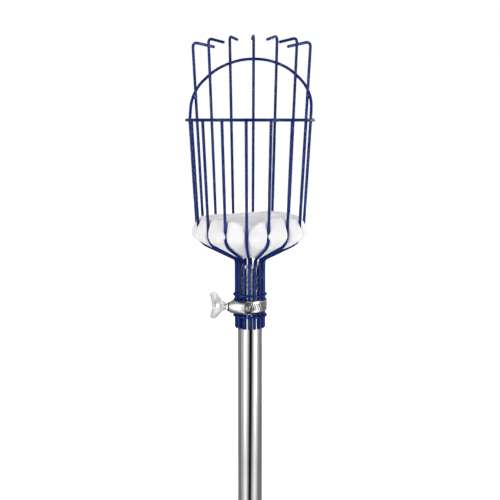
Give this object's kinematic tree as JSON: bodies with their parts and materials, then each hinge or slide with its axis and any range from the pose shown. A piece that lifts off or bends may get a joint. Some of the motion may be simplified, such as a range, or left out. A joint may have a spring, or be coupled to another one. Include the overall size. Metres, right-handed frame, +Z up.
{
  "type": "fruit picker basket",
  "caption": "Wire fruit picking basket with hooked back wires and a foam cup, held on a pole end by a thumb screw hose clamp",
  "frame": {"origin": "centre of the coupler's lower mouth, where the next pole section screws in", "axes": "+Z up the pole to the basket, +Y to the hooked back of the basket, -Y to its low front"},
  "size_m": [0.131, 0.1347, 0.71],
  "materials": {
    "coated_wire": "glossy blue plastic coat",
    "foam": "soft white foam",
    "clamp_steel": "bright pressed band steel",
    "screw_steel": "plated screw",
    "key_metal": "satin zinc plate",
    "pole_steel": "polished",
    "insert_steel": "polished, rolled thread",
    "coupler_steel": "satin",
    "grip_rubber": "matt ribbed"
  },
  "bodies": {
    "pole": {"pole_tube": "pole_steel", "top_thread_insert": "insert_steel", "bottom_thread_insert": "insert_steel", "coupler_core": "coupler_steel", "coupler_grip": "grip_rubber"},
    "clamp": {"clamp_band": "clamp_steel", "clamp_housing": "clamp_steel"},
    "basket": {"short_wire_1": "coated_wire", "short_wire_2": "coated_wire", "short_wire_3": "coated_wire", "short_wire_4": "coated_wire", "short_wire_5": "coated_wire", "short_wire_6": "coated_wire", "short_wire_7": "coated_wire", "tall_wire_1": "coated_wire", "tall_wire_2": "coated_wire", "tall_wire_3": "coated_wire", "tall_wire_4": "coated_wire", "tall_wire_5": "coated_wire", "tall_wire_6": "coated_wire", "tall_wire_7": "coated_wire", "brace_hoop": "coated_wire", "rim_ring": "coated_wire", "lower_collar_ring": "coated_wire", "upper_collar_ring": "coated_wire", "foam_cushion": "foam"},
    "strap": {"clamp_strap": "clamp_steel"},
    "screw": {"clamp_worm": "screw_steel", "worm_washer": "screw_steel", "thumb_key": "key_metal"}
  },
  "joints": [
    {"name": "basket_lift", "type": "slide", "parent": "pole", "child": "clamp", "axis": [0, 0, 1], "range_m": [0, 0.075]},
    {"name": "basket_turn", "type": "hinge", "parent": "clamp", "child": "basket", "pos_m": [0, 0, 0.4306], "axis": [0, 0, 1], "continuous": true},
    {"name": "worm_turn", "type": "hinge", "parent": "clamp", "child": "screw", "pos_m": [-0.00781, -0.02035, 0.4306], "axis": [-0.9336, 0.3584, 0], "range_deg": [0, 1080]},
    {"name": "strap_draw", "type": "hinge", "parent": "clamp", "child": "strap", "pos_m": [0, 0, 0.4306], "axis": [0, 0, 1], "range_deg": [0, 21.6]}
  ],
  "couplings": [
    {"joint": "strap_draw", "follows": "worm_turn", "ratio": 0.019894}
  ]
}
